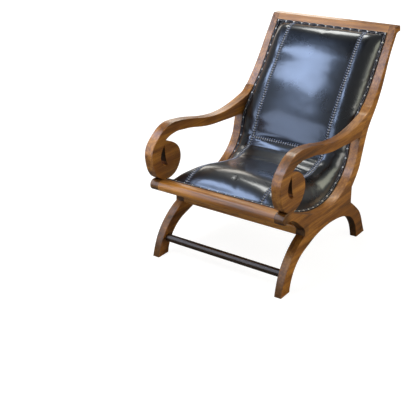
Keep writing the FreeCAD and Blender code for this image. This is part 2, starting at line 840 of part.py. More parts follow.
def build_pad():
    """Foam and leather, parted at the lumbar seam except at the sides."""
    above = above_lumbar()
    under_foam = strip(0, bed_length, webbing_low, leather_low, -inner_x, inner_x)
    foam = lofted([foam_section(row) for row in full_rows]).cut(under_foam)
    save("back_foam", foam.common(above))
    save("seat_foam", foam.cut(above))
    centre = lofted([centre_leather_section(row) for row in leather_rows])
    save("back_centre_leather", centre.common(above).cut(nail_holes(0, cleat_start)))
    save("seat_centre_leather", centre.cut(above).cut(nail_holes(cleat_end, bed_length)))
    side = lofted([side_leather_section(row) for row in leather_rows])
    save_pair("side_leather", side.cut(nail_holes(0, bed_length, seam_x - nail_pitch)))


def build_trim():
    """Gimp strips over the leather's edges, and the nails through them."""
    side = strip(pad_top, pad_front, gimp_low, gimp_high, border_x, leather_x)
    save_pair("gimp", side.cut(nail_holes(0, bed_length, border_x)))
    top = strip(pad_top, pad_top + gimp_width, gimp_low, gimp_high, -border_x, border_x)
    save("top_gimp", top.cut(nail_holes(0, cleat_start, -border_x, border_x)))
    front = strip(pad_front - gimp_width, pad_front, gimp_low, gimp_high, -border_x, border_x)
    save("front_gimp", front.cut(nail_holes(cleat_end, bed_length, -border_x, border_x)))
    save("upholstery_nails", Part.makeCompound([driven(dome_nail(), *spot) for spot in nail_spots()]))


build_frame()
build_support()
build_pad()
build_trim()
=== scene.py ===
import json
import math

import bmesh
import bpy
from mathutils import Matrix, Vector, noise
from mathutils.bvhtree import BVHTree


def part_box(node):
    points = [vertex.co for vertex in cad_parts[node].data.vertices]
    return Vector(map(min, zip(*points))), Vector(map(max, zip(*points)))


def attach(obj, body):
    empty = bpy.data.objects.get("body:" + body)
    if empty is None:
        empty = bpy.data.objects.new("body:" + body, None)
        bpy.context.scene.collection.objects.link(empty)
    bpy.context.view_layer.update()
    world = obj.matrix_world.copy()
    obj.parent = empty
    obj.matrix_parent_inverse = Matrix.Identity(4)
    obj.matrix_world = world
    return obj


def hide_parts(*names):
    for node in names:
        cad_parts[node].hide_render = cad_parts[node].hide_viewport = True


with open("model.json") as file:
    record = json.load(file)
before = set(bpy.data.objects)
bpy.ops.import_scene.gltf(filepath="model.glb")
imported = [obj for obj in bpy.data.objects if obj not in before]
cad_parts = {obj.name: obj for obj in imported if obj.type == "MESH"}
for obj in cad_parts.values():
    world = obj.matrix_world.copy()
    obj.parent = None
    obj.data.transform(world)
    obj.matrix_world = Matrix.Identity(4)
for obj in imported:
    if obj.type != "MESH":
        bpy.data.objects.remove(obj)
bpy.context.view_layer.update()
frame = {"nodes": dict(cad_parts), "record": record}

# A planters chair: waxed hardwood sides and a long black leather pad, nailed down over a gimp braid

nodes = frame["nodes"]

mm = 0.001

# The camera of the photograph
camera_place = Vector((1.6425, -2.8659, 1.6047))
camera_azimuth = math.radians(35.17)
camera_elevation = math.radians(23.53)
camera_lens = 69.75
camera_sensor = 36.0
camera_reach = 200.0

# The pad's skin is a grid, whose outer rows and columns the nails hold
skin_pitch = 8 * mm
skin_thickness = 1.6 * mm
side_columns = 15
seam_columns = 42
nailed = 3

# Its facets are evened out, except in the rows beside the lumbar seam
evening_passes = 3
lumbar_clear = 3

# The skin as cloth over the stuffing, and the most that it may move a point
leather_cloth = {
    "quality": 6,
    "mass": 0.25,
    "tension_stiffness": 30,
    "compression_stiffness": 30,
    "shear_stiffness": 12,
    "bending_stiffness": 1.2,
    "shrink_min": -0.001,
    "use_pressure": True,
    "uniform_pressure_force": 6.0,
}
cloth_frames = 20
greatest_puff = 4 * mm

# Unevenness of the stuffed leather: heights, and waves per metre
cloud_height, cloud_waves = 0.6 * mm, 11
dimple_height, dimple_waves = 0.12 * mm, 34
fold_height, fold_waves_across, fold_waves_along = 0.9 * mm, 9, 26
fold_reach = 55 * mm
fade_rows, fade_columns = 5, 4

# Seams, with a line of beads and a slanting lace at each side
seam_depth = 1.8 * mm
seam_width = 4.0 * mm
stitch_pitch = 11.5 * mm
bead_length = 8.0 * mm
bead_radius = 2.5 * mm
bead_lift = 1.6 * mm
lace_length = 12.0 * mm
lace_radius = 1.5 * mm
lace_lift = 0.5 * mm
lace_offset = 6.6 * mm
lace_slant = math.radians(48)

# Foam, a little inside the leather
foam_voxel = 7 * mm
foam_inset = 4.0 * mm
foam_smoothing = 2
same_place = 0.01 * mm

# Gimp, its scalloped cords and the nails that they part around
gimp_top = 2.3 * mm
cord_radius = 0.8 * mm
cord_rise_share = 0.55
cord_swing = 3.8 * mm
cord_step = 2.4 * mm
nail_pitch = 42 * mm


# Finishes

class Wire:
    """A node's output. Sums and products on it add Math nodes."""

    def __init__(self, finish, socket):
        self.finish = finish
        self.socket = socket

    def maths(self, operation, first, second=0.0):
        return self.finish.node("ShaderNodeMath", {"operation": operation}, {0: first, 1: second})

    def __add__(self, other):
        return self.maths("ADD", self, other)

    __radd__ = __add__

    def __mul__(self, other):
        return self.maths("MULTIPLY", self, other)

    __rmul__ = __mul__

    def __sub__(self, other):
        return self.maths("SUBTRACT", self, other)

    def __rsub__(self, other):
        return self.maths("SUBTRACT", other, self)

    def sine(self):
        return self.maths("SINE", self)

    def size(self):
        return self.maths("ABSOLUTE", self)


class Finish:
    """A material and its nodes."""

    def __init__(self, name):
        self.material = bpy.data.materials.new(name)
        self.material.use_nodes = True
        self.tree = self.material.node_tree
        self.shader = self.tree.nodes["Principled BSDF"]
        self.place = self.node("ShaderNodeTexCoord", out="Object")

    def node(self, kind, settings=None, sockets=None, out=0):
        """Adds a node with its settings and sockets, and gives one of its outputs."""
        made = self.tree.nodes.new(kind)
        for name, value in (settings or {}).items():
            if name == "stops":
                set_stops(made.color_ramp, value)
            else:
                setattr(made, name, value)
        for name, value in (sockets or {}).items():
            self.join(value, made.inputs[name])
        return Wire(self, made.outputs[out])

    def join(self, value, socket):
        if isinstance(value, Wire):
            self.tree.links.new(value.socket, socket)
        else:
            socket.default_value = value

    def mapped(self, scale, turn=0.0, shift=(0.0, 0.0, 0.0)):
        """Object coordinates, shifted, turned about X and stretched."""
        sockets = {"Location": shift, "Rotation": (turn, 0.0, 0.0), "Scale": scale, "Vector": self.place}
        return self.node("ShaderNodeMapping", sockets=sockets)

    def noise(self, vector, scale=1.0, detail=3.0, roughness=0.5):
        sockets = {"Vector": vector, "Scale": scale, "Detail": detail, "Roughness": roughness}
        return self.node("ShaderNodeTexNoise", sockets=sockets)

    def rise(self, value, low, high):
        """A smooth step from 0 at low to 1 at high."""
        sockets = {0: value, 1: low, 2: high}
        return self.node("ShaderNodeMapRange", {"interpolation_type": "SMOOTHSTEP"}, sockets)

    def ramp(self, value, stops):
        return self.node("ShaderNodeValToRGB", {"stops": stops}, {"Fac": value})

    def mix(self, factor, first, second):
        settings = {"data_type": "RGBA", "blend_type": "MIX"}
        return self.node("ShaderNodeMix", settings, {0: factor, 6: first, 7: second}, out=2)

    def axis(self, name):
        """One coordinate of the place on the chair."""
        return self.node("ShaderNodeSeparateXYZ", sockets={0: self.place}, out=name)

    def facing(self, name):
        """How far the surface faces along an axis."""
        normal = self.node("ShaderNodeNewGeometry", out="Normal")
        return self.node("ShaderNodeSeparateXYZ", sockets={0: normal}, out=name)

    def attribute(self, name):
        return self.node("ShaderNodeAttribute", {"attribute_name": name}, out="Fac")

    def bump(self, height, strength, distance):
        sockets = {"Strength": strength, "Distance": distance, "Height": height}
        return self.node("ShaderNodeBump", sockets=sockets)

    def light_path(self, name):
        return self.node("ShaderNodeLightPath", out=name)

    def sets(self, **values):
        """Sets or links the shader's own sockets, by name with underscores for spaces."""
        for name, value in values.items():
            self.join(value, self.shader.inputs[name.replace("_", " ")])
        return self.material


def set_stops(ramp, stops):
    while len(ramp.elements) < len(stops):
        ramp.elements.new(0.5)
    for element, (place, colour) in zip(ramp.elements, stops):
        element.position = place
        element.color = colour


def rgb(red, green, blue):
    """A colour given as it shows, from 0 to 255, as the shader needs it."""
    def linear(value):
        value /= 255
        return value / 12.92 if value <= 0.04045 else ((value + 0.055) / 1.055) ** 2.4
    return linear(red), linear(green), linear(blue), 1.0


def darker(colour, share):
    """A colour at a share of its strength."""
    return [share * value for value in colour[:3]] + [1.0]


# Colours of the waxed hardwood and of the plain timber inside, with the tints of their figure
umber = rgb(64, 38, 13)
# A near-black brown for the pores, which is also the colour of the painted shade on the timber
dark_pore_and_shade = rgb(28, 15, 7)
waxed_colours = {
    "stops": [(0.36, rgb(198, 134, 50)), (0.50, rgb(140, 86, 28)), (0.66, umber)],
    "streak": umber,
    "fibre": umber,
    "pore": dark_pore_and_shade,
}
plain_colours = {
    "stops": [(0.36, rgb(196, 160, 116)), (0.55, rgb(168, 128, 84)), (0.72, rgb(118, 84, 52))],
    "streak": rgb(120, 88, 58),
    "fibre": rgb(110, 80, 52),
    "pore": rgb(96, 70, 46),
}

# Layers of the grain: waves per metre along and across it, detail and roughness of the noise
grain_layers = {
    "bands": (1.6, 26.0, 4.0, 0.55),
    "figure": (5.0, 110.0, 5.0, 0.62),
    "fibre": (22.0, 900.0, 3.0, 0.6),
    "pores": (60.0, 1700.0, 2.0, 0.5),
}
patch_waves, patch_detail = 5.0, 2.0
seed_shift = (0.37, 0.61, 0.23)

# What each layer adds to the wood's tone, and a tone that adds nothing
band_tone, figure_tone, patch_tone = 0.42, 0.33, 0.25
even_tone = 0.5

# Tints over that tone: where each begins, where it is full, and its depth
streak_bands, streak_figure = 0.6, 0.4
streak_tint = (0.52, 0.66, 0.42)
fibre_tint = (0.42, 0.75, 0.34)
pore_tint = (0.60, 0.72, 0.5)

# Roughness and relief of the wood, with where a pore begins and is full in each
wood_roughness, fibre_roughness, pore_roughness, patch_roughness = 0.30, 0.14, 0.14, 0.06
unwaxed_roughness = 0.3
fibre_relief, pore_relief = 0.5, 0.7
grain_strength, grain_depth = 0.22, 0.4 * mm
dull_pore, deep_pore = (0.58, 0.7), (0.58, 0.72)
wax = {
    "Coat_Roughness": 0.24,
    "Coat_IOR": 1.6,
    "Specular_IOR_Level": 0.6,
    "Specular_Tint": (1.0, 0.86, 0.62, 1.0),
}
board_polish = 0.45
leg_polish = 0.2


def timber(name, turn, seed, tone=even_tone, across=False, waxed=True, shade=None, polish=board_polish):
    """Straight-grained hardwood. The grain runs along Y turned about X, or along X.

    Shade gives the places darkened towards near-black, from 0 to 1: darker joint lines and rail ends, and
    painted shade on undersides, edges, recesses and the stretcher.
    """
    finish = Finish(name)
    shift = tuple(seed * each for each in seed_shift)
    long_way = 0 if across else 1
    layers = {}
    for layer, (waves_along, waves_across, detail, roughness) in grain_layers.items():
        scale = [waves_across] * 3
        scale[long_way] = waves_along
        layers[layer] = finish.noise(finish.mapped(scale, -turn, shift), 1.0, detail, roughness)
    bands, figure, fibre, pores = layers.values()
    patch = finish.noise(finish.mapped([patch_waves] * 3, 0.0, shift), detail=patch_detail)

    colours = waxed_colours if waxed else plain_colours
    value = bands * band_tone + figure * figure_tone + patch * patch_tone + (tone - even_tone)
    colour = finish.ramp(value, colours["stops"])
    streaks = bands * streak_bands + figure * streak_figure
    for layer, (start, full, depth), tint in (
        (streaks, streak_tint, colours["streak"]),
        (fibre, fibre_tint, colours["fibre"]),
        (pores, pore_tint, colours["pore"]),
    ):
        colour = finish.mix(finish.rise(layer, start, full) * depth, colour, tint)
    if shade:
        # Painted shade, with darker joint lines: the shade mask darkens the wood towards near-black here
        colour = finish.mix(shade(finish), colour, dark_pore_and_shade)

    dull = finish.rise(pores, *dull_pore) * pore_roughness
    rough = wood_roughness + fibre * fibre_roughness + dull + patch * patch_roughness
    relief = fibre * fibre_relief - finish.rise(pores, *deep_pore) * pore_relief
    grain = finish.bump(relief, grain_strength, grain_depth)
    if waxed:
        return finish.sets(Base_Color=colour, Roughness=rough, Normal=grain, Coat_Weight=polish, **wax)
    return finish.sets(Base_Color=colour, Roughness=rough + unwaxed_roughness, Normal=grain)


# Black hide: its colours, its glaze, and how far from a seam it puckers and is drawn in
hide_black = rgb(10, 10, 13)
hide_worn = rgb(26, 25, 27)
glaze = {
    "Specular_IOR_Level": 0.9,
    "Specular_Tint": (0.82, 0.91, 1.0, 1.0),
    "Coat_Roughness": 0.16,
}
glaze_weight, drawn_glaze_loss = 0.85, 0.6
pucker_end, pucker_full = 13 * mm, 4 * mm
drawn_end, drawn_full = 14 * mm, 8 * mm

# Its grain, creases, puckers and wear: waves per metre, relief, roughness and strength
cell_waves, cell_wall, cell_relief = 620.0, 0.28, 0.05
crease_waves, crease_relief = 95.0, 0.03
pucker_relief = 0.5
hide_strength, hide_depth = 0.25, 1 * mm
gloss_waves, wear_waves = 9.0, 16.0
wear_start, wear_full, wear_depth = 0.52, 0.74, 0.6
hide_roughness, gloss_change, worn_change, drawn_change = 0.22, 0.13, 0.03, 0.2


def leather(name):
    """Black glazed hide with a fine grain and soft unevenness, duller where a seam draws it in."""
    finish = Finish(name)
    sockets = {"Vector": finish.place, "Scale": cell_waves}
    cells = finish.node("ShaderNodeTexVoronoi", {"feature": "DISTANCE_TO_EDGE"}, sockets)
    creases = finish.noise(finish.place, crease_waves, detail=4.0, roughness=0.6)
    cloud = finish.noise(finish.place, gloss_waves, detail=3.0, roughness=0.5)
    patches = finish.noise(finish.place, wear_waves, detail=5.0, roughness=0.65)
    wear = finish.rise(patches, wear_start, wear_full)
    seam_gap = finish.attribute("seam_gap")
    wave = finish.attribute("seam_run") * (2 * math.pi / stitch_pitch)
    pucker = wave.sine() * finish.rise(seam_gap, pucker_end, pucker_full)
    drawn = finish.rise(seam_gap, drawn_end, drawn_full)
    relief = finish.rise(cells, 0.0, cell_wall) * cell_relief + creases * crease_relief
    height = relief + pucker * pucker_relief
    return finish.sets(
        Base_Color=finish.mix(wear * (1 - drawn) * wear_depth, hide_black, hide_worn),
        Roughness=hide_roughness + cloud * gloss_change + wear * worn_change + drawn * drawn_change,
        Normal=finish.bump(height, hide_strength, hide_depth),
        Coat_Weight=glaze_weight - drawn * drawn_glaze_loss,
        **glaze,
    )


def woven(name, pale, dark, yarn, twist=0.0):
    """A plain weave of yarns of one width, on Object coordinates, over a slightly uneven cloth."""
    waves_per_yarn = 0.32
    cloth_waves, cloth_relief, cloth_gloss = 40.0, 0.3, 0.1
    dry_roughness, weave_strength = 0.82, 0.6
    finish = Finish(name)
    sockets = {
        "Vector": finish.mapped((1.0, 1.0, 1.0), twist),
        "Scale": waves_per_yarn / yarn, "Distortion": 0.6, "Detail": 1.0, "Detail Scale": 8.0,
    }
    warp, weft = [
        finish.node("ShaderNodeTexWave", {"bands_direction": way}, sockets, out="Fac") for way in "XY"
    ]
    cloth = finish.noise(finish.place, cloth_waves)
    height = warp * weft + cloth * cloth_relief
    return finish.sets(
        Base_Color=finish.mix(finish.rise(height, 0.1, 0.9), dark, pale),
        Roughness=dry_roughness - cloth * cloth_gloss,
        Normal=finish.bump(height, weave_strength, yarn),
    )


def twisted(name, colour, gloss):
    """Twisted thread or cord, seen as fine slanted strands."""
    strand_waves, strand_slant = (1400.0, 700.0, 900.0), 0.6
    hollow_share, hollow_roughness = 0.45, 0.2
    strand_strength, strand_depth = 0.5, 0.3 * mm
    finish = Finish(name)
    strands = finish.noise(finish.mapped(strand_waves, strand_slant), detail=2.0)
    return finish.sets(
        Base_Color=finish.mix(strands, darker(colour, hollow_share), colour),
        Roughness=gloss + strands * hollow_roughness,
        Normal=finish.bump(strands, strand_strength, strand_depth),
    )


def plated(name, colour, rough):
    """Plated steel with light tarnish."""
    spot_waves, spot_start, spot_full = 150.0, 0.45, 0.75
    tarnish_share, tarnish_roughness = 0.5, 0.2
    finish = Finish(name)
    tarnish = finish.noise(finish.place, spot_waves, detail=4.0, roughness=0.6)
    spots = finish.rise(tarnish, spot_start, spot_full)
    return finish.sets(
        Base_Color=finish.mix(spots, colour, darker(colour, tarnish_share)),
        Roughness=rough + tarnish * tarnish_roughness,
        Metallic=1.0,
    )


def foam(name):
    """Cream upholstery foam with fine open cells."""
    open_cells = 900.0
    foam_roughness, cell_gloss = 0.9, 0.05
    cell_strength, cell_depth = 0.5, 0.6 * mm
    finish = Finish(name)
    cells = finish.noise(finish.place, open_cells)
    return finish.sets(
        Base_Color=finish.mix(cells, rgb(226, 208, 160), rgb(196, 172, 118)),
        Roughness=foam_roughness - cells * cell_gloss,
        Normal=finish.bump(cells, cell_strength, cell_depth),
    )


# Places on the chair that the shades of its timber follow
joint_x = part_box("front_seat_rail")[1].x
nose_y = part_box("front_seat_rail")[0].y
lower_rail_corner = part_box("lower_front_rail")[0]
knee_rise = 26 * mm
knee_place = Vector((0.0, lower_rail_corner.y, lower_rail_corner.z + knee_rise))
openings = {each["name"]: each["box_m"] for each in frame["record"]["physics"]["openings"]}
eye_box = [Vector(corner) for corner in openings["left_arm_eye"]]
eye_middle = (eye_box[0] + eye_box[1]) / 2


def within(finish, place, outer, inner):
    """Rises from 0 to 1 between two radii about a place, seen from the side."""
    aside = finish.axis("Y") - place.y
    above = finish.axis("Z") - place.z
    return finish.rise(aside * aside + above * above, outer ** 2, inner ** 2)


def turned_from_side(finish, start, full):
    """Rises from 0 to 1 as the surface turns away from the side of its board to an edge."""
    return finish.rise(finish.facing("X").size(), start, full)


def either(first, second):
    """Both shades together, never above 1."""
    return first + second - first * second


def joint_shade(finish):
    """A dark line where a cross rail meets the boards."""
    line_start, line_full, depth = 2.4 * mm, 1.2 * mm, 0.75
    return finish.rise(finish.axis("X").size(), joint_x - line_start, joint_x - line_full) * depth


def painted_underside_shade(finish):
    """Painted shade on the underside of a board, deeper the more it faces down."""
    start, full, depth = -0.15, -0.55, 0.7
    return finish.rise(finish.facing("Z"), start, full) * depth


def eye_shade(finish):
    """Painted shade on the walls of the arm's crescent eye and on the arm's underside."""
    outer, inner, depth = 40 * mm, 34 * mm, 0.9
    under_share = 0.5
    walls = within(finish, eye_middle, outer, inner) * turned_from_side(finish, 0.9, 0.5)
    return either(walls * depth, painted_underside_shade(finish) * under_share)


def nose_shade(finish):
    """Darker towards the rolled front end of a seat rail, with painted shade at its knee over the leg and
    on its underside.
    """
    nose_back, nose_front, nose_depth = 75 * mm, 20 * mm, 0.62
    knee_outer, knee_inner = 40 * mm, 22 * mm
    knee_depth, knee_edge_depth = 0.35, 0.35
    nose = finish.rise(finish.axis("Y"), nose_y + nose_back, nose_y + nose_front) * nose_depth
    knee = within(finish, knee_place, knee_outer, knee_inner)
    knee = knee * (knee_depth + turned_from_side(finish, 0.95, 0.7) * knee_edge_depth)
    return either(either(nose, knee), painted_underside_shade(finish))


def leg_shade(finish):
    """Painted shade on the narrow edges of a leg, deeper towards the floor, and on its underside."""
    low_start, low_full = 170 * mm, 20 * mm
    edge_depth, foot_depth = 0.2, 0.4
    low = finish.rise(finish.axis("Z"), low_start, low_full)
    edge = turned_from_side(finish, 0.6, 0.3) * (edge_depth + low * foot_depth)
    return either(edge, painted_underside_shade(finish))


def stretcher_painted_shade(finish):
    """The stretcher is darkened nearly black all over: painted shade for the shadow under the seat."""
    stretcher_shade_depth = 0.72
    return stretcher_shade_depth


# Timber of each board: turn of the grain about X, seed, tone and shade
post_turn = math.radians(52)
board_grain = {
    "back_post": (post_turn, 1.0, 0.46, None),
    "seat_rail": (math.radians(-10), 2.0, 0.50, nose_shade),
    "front_leg": (math.radians(35), 3.0, 0.50, leg_shade),
    "rear_leg": (math.radians(-35), 4.0, 0.52, leg_shade),
    "arm": (math.radians(-4), 5.0, 0.47, eye_shade),
}
right_hand_seed = 11.0

# Timber of each piece across the chair: seed, tone, whether it is waxed, and shade
cross_grain = {
    "crest_rail": (6.3, 0.42, True, joint_shade),
    "front_seat_rail": (7.1, 0.45, True, joint_shade),
    "lower_front_rail": (8.7, 0.36, True, joint_shade),
    # The stretcher's dark tone and its darkening are painted shade
    "front_stretcher": (9.2, 0.95, True, stretcher_painted_shade),
    "rear_seat_rail": (10.4, 0.50, False, joint_shade),
}


def dress(node, material):
    """Gives a CAD node one material."""
    for slot in nodes[node].material_slots:
        slot.material = material


def dress_timber():
    """Finishes the boards, the rails between them, the cleats and the dowels."""
    for board, (turn, seed, tone, shade) in board_grain.items():
        polish = leg_polish if board.endswith("leg") else board_polish
        for hand, step in (("left", 0.0), ("right", right_hand_seed)):
            piece = f"{hand}_{board}"
            dress(piece, timber(f"{piece}_wood", turn, seed + step, tone, shade=shade, polish=polish))
    for rail, (seed, tone, waxed, shade) in cross_grain.items():
        dress(rail, timber(f"{rail}_wood", 0.0, seed, tone, across=True, waxed=waxed, shade=shade))
    for cleat, turn in (("back_cleat", post_turn), ("seat_cleat", 0.0)):
        for hand, seed in (("left", 12.0), ("right", 13.0)):
            piece = f"{hand}_{cleat}"
            dress(piece, timber(f"{piece}_wood", turn, seed, waxed=False))
    peg_wood = timber("peg_wood", turn=0.0, seed=14.0, tone=0.45, across=True, waxed=False)
    for pegs in ("leg_dowels", "post_dowels", "rail_dowels", "arm_dowels"):
        dress(pegs, peg_wood)


def dress_trim():
    """Finishes the screws, the webbing and its lining, the gimp and the nails."""
    dress("cleat_screws", plated("zinc_screw", rgb(190, 190, 182), rough=0.3))
    dress("cross_webbing", woven("jute_webbing", rgb(200, 174, 132), rgb(118, 92, 60), yarn=2.2 * mm))
    dress("hessian_lining", woven("hessian", rgb(194, 174, 138), rgb(112, 94, 68), yarn=1.3 * mm))
    bias = math.radians(45)
    braid = woven("gimp_braid", rgb(30, 30, 38), rgb(7, 7, 10), yarn=1.0 * mm, twist=bias)
    for gimp in ("left_gimp", "right_gimp", "top_gimp", "front_gimp"):
        dress(gimp, braid)
    dress("upholstery_nails", plated("nickel_nail", rgb(255, 251, 238), rough=0.36))


dress_timber()
dress_trim()
hide = leather("black_hide")
# The beads are coloured pale blue-white: a painted highlight on dark lace
bead_highlight_finish = twisted("pale_bead_painted_highlight", rgb(240, 246, 255), gloss=0.4)
# The laces are coloured pale blue: a painted highlight on dark leather lace
lace_finish = twisted("lace_painted_highlight", rgb(172, 188, 230), gloss=0.35)
# The gimp's cords are coloured pale grey: a painted highlight on dark cord
cord_finish = twisted("cord_painted_highlight", rgb(158, 158, 166), gloss=0.25)
foam_finish = foam("pad_foam")


# The pad's skin, laid over the CAD leather row by row

leather_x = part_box("left_side_leather")[1].x
border_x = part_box("left_gimp")[0].x
seam_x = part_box("seat_centre_leather")[1].x
gimp_width = leather_x - border_x


def surface_of(names):
    """A search tree of the CAD faces of some nodes, with the count of faces of the first one."""
    points, faces = [], []
    first_count = 0
    for name in names:
        mesh = nodes[name].data
        start = len(points)
        points += [vertex.co.copy() for vertex in mesh.vertices]
        faces += [[start + index for index in polygon.vertices] for polygon in mesh.polygons]
        first_count = first_count or len(faces)
    return BVHTree.FromPolygons(points, faces), first_count


leather_tree, back_faces = surface_of(
    ["back_centre_leather", "seat_centre_leather", "left_side_leather", "right_side_leather"]
)
edge_tree = surface_of(["left_side_leather"])[0]


def bed_profile():
    """Points of the flush line along the boards, from the crest to the front, in the plane X = 0."""
    low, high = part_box("left_side_leather")
    samples = 1200
    end_inset, side_inset = 0.2 * mm, 3 * mm
    well_above = 2.0
    points = []
    for count in range(samples + 1):
        y = high.y - end_inset - (high.y - low.y - 2 * end_inset) * count / samples
        above = Vector((leather_x - side_inset, y, well_above))
        hit = edge_tree.ray_cast(above, Vector((0, 0, -1)))[0]
        if hit:
            points.append(Vector((0, hit.y, hit.z)))
    return points


class Path:
    """A line of points that is read by distance."""

    def __init__(self, points):
        self.points = points
        self.reach = [0.0]
        for first, last in zip(points, points[1:]):
            self.reach.append(self.reach[-1] + (last - first).length)
        self.length = self.reach[-1]

    def at(self, distance):
        distance = min(max(distance, 0.0), self.length)
        low, high = 0, len(self.reach) - 1
        while high - low > 1:
            middle = (low + high) // 2
            if self.reach[middle] <= distance:
                low = middle
            else:
                high = middle
        span = self.reach[high] - self.reach[low]
        share = (distance - self.reach[low]) / span if span else 0.0
        return self.points[low].lerp(self.points[high], share)

    def tangent(self, distance, reach=6 * mm):
        return (self.at(distance + reach) - self.at(distance - reach)).normalized()

    def normal(self, distance):
        """Out of the bed, to the side of the pad."""
        tangent = self.tangent(distance)
        return Vector((0, tangent.z, -tangent.y))


bed = Path(bed_profile())


def row_direction(distance):
    """The pad's upright at a row, which turns evenly through the hollow of the back."""
    window, steps = 90 * mm, 12
    total = Vector((0, 0, 0))
    for count in range(-steps, steps + 1):
        weight = 1 - abs(count) / (steps + 1)
        total += bed.normal(distance + window * count / steps) * weight
    return total.normalized()


def outer_hit(foot, upright, x, level=0.0, angle=math.pi / 2):
    """Where the leather lies, seen along an angle in a row's plane from outside to a point."""
    far, past = 0.17, 30 * mm
    target = Vector((x, foot.y, foot.z)) + upright * level
    way = Vector((math.cos(angle), 0, 0)) + upright * math.sin(angle)
    return leather_tree.ray_cast(target + way * far, -way, far + past)


def side_path(foot, upright):
    """The leather from the gimp's border over the side roll to the long seam."""
    pivot_inset, pivot_drop = 14 * mm, 1 * mm
    seam_sides, clear = 1.5 * mm, 1 * mm
    first_angle, last_angle, angle_step = 3, 90, 3
    near_seam = [outer_hit(foot, upright, seam_x + step)[0] for step in (-seam_sides, seam_sides)]
    points = [Vector((border_x, foot.y, foot.z))]
    for angle in range(first_angle, last_angle, angle_step):
        hit = outer_hit(foot, upright, seam_x - pivot_inset, -pivot_drop, math.radians(angle))[0]
        if hit and seam_x + clear < hit.x < border_x - clear:
            points.append(hit)
    points.append((near_seam[0] + near_seam[1]) / 2)
    return Path(points)


def row_points(distance):
    """One row of the skin from the left edge to the right edge, and whether the middle is on the seat."""
    foot = bed.at(distance)
    upright = row_direction(distance)
    edge, border = Vector((leather_x, foot.y, foot.z)), Vector((border_x, foot.y, foot.z))
    side = side_path(foot, upright)
    left = [edge, edge.lerp(border, 0.5)]
    left += [side.at(side.length * count / side_columns) for count in range(side_columns + 1)]
    right = [Vector((-point.x, point.y, point.z)) for point in reversed(left)]
    middle = []
    on_seat = False
    for count in range(1, seam_columns):
        hit, face_index = outer_hit(foot, upright, seam_x * (1 - 2 * count / seam_columns))[::2]
        middle.append(hit)
        on_seat = face_index >= back_faces
    return left + middle + right, on_seat


edge_rows = [0.0, gimp_width / 2, gimp_width]
inner_length = bed.length - 2 * gimp_width
inner_rows = round(inner_length / skin_pitch)
row_places = edge_rows + [gimp_width + inner_length * count / inner_rows for count in range(1, inner_rows)]
row_places += [bed.length - place for place in reversed(edge_rows)]
rows = [row_points(place) for place in row_places]
row_count = len(rows)
column_count = len(rows[0][0])
left_seam = side_columns + 2
right_seam = column_count - 1 - left_seam
lumbar_row = [on_seat for points, on_seat in rows].index(True)


def evened_rows():
    """The rows, with the faceting of the CAD leather evened out along the pad, away from its edges."""
    grid = [points for points, on_seat in rows]
    for repeat in range(evening_passes):
        before = [list(points) for points in grid]
        for row in range(nailed + 1, row_count - nailed - 1):
            if abs(row - lumbar_row) < lumbar_clear:
                continue
            for column in range(nailed, column_count - nailed):
                around = before[row - 1][column] + before[row + 1][column]
                grid[row][column] = before[row][column] * 0.5 + around * 0.25
    return grid


def new_object(name, bm):
    mesh = bpy.data.meshes.new(name)
    bm.to_mesh(mesh)
    bm.free()
    made = bpy.data.objects.new(name, mesh)
    bpy.context.scene.collection.objects.link(made)
    return made


def evaluated(made):
    """The object as its modifiers leave it."""
    return made.evaluated_get(bpy.context.evaluated_depsgraph_get())


def skin_mesh(grid):
    """A grid moved to the rows of points, with each vertex's row and column kept in layers."""
    bm = bmesh.new()
    bmesh.ops.create_grid(bm, x_segments=column_count - 1, y_segments=row_count - 1, size=1.0)
    row_layer = bm.verts.layers.float.new("row")
    column_layer = bm.verts.layers.float.new("column")
    for vertex in bm.verts:
        column = round((vertex.co.x + 1) / 2 * (column_count - 1))
        row = round((vertex.co.y + 1) / 2 * (row_count - 1))
        vertex[row_layer] = row
        vertex[column_layer] = column
        vertex.co = grid[row][column]
    bm.normal_update()
    middle = max(bm.verts, key=lambda vertex: vertex.co.z if abs(vertex.co.x) < seam_x else 0)
    if middle.normal.y > 0:
        bmesh.ops.reverse_faces(bm, faces=bm.faces[:])
    return new_object("pad_skin", bm)


def places_of(mesh):
    """The row and column of each vertex of the skin."""
    rows_of, columns_of = mesh.attributes["row"].data, mesh.attributes["column"].data
    return [(row.value, column.value) for row, column in zip(rows_of, columns_of)]


def pinned(row, column):
    """Whether the skin is held: at its nailed edges and along its seams."""
    if not nailed <= row < row_count - nailed or not nailed <= column < column_count - nailed:
        return True
    if min(abs(column - left_seam), abs(column - right_seam)) <= 1:
        return True
    return row == lumbar_row and left_seam < column < right_seam


def puff_up(skin):
    """Lets the stuffing press the leather out between its seams, as cloth under pressure."""
    mesh = skin.data
    places = [(round(row), round(column)) for row, column in places_of(mesh)]
    held = skin.vertex_groups.new(name="held")
    held.add([index for index, place in enumerate(places) if pinned(*place)], 1.0, "REPLACE")
    cloth = skin.modifiers.new("cloth", "CLOTH")
    for name, value in leather_cloth.items():
        setattr(cloth.settings, name, value)
    cloth.settings.vertex_group_mass = held.name
    cloth.settings.effector_weights.gravity = 0.0
    cloth.point_cache.frame_start = 1
    cloth.point_cache.frame_end = cloth_frames
    for count in range(1, cloth_frames + 1):
        bpy.context.scene.frame_set(count)
    puffed = [vertex.co.copy() for vertex in evaluated(skin).data.vertices]
    skin.modifiers.remove(cloth)
    bpy.context.scene.frame_set(1)
    for vertex, place in zip(mesh.vertices, puffed):
        move = place - vertex.co
        if move.length > greatest_puff:
            move *= greatest_puff / move.length
        vertex.co += move


def finer(skin):
    """Gives the skin one level of subdivision in its mesh."""
    modifier = skin.modifiers.new("finer", "SUBSURF")
    modifier.levels = modifier.render_levels = 1
    modifier.boundary_smooth = "PRESERVE_CORNERS"
    mesh = bpy.data.meshes.new_from_object(evaluated(skin))
    skin.modifiers.remove(modifier)
    skin.data = mesh


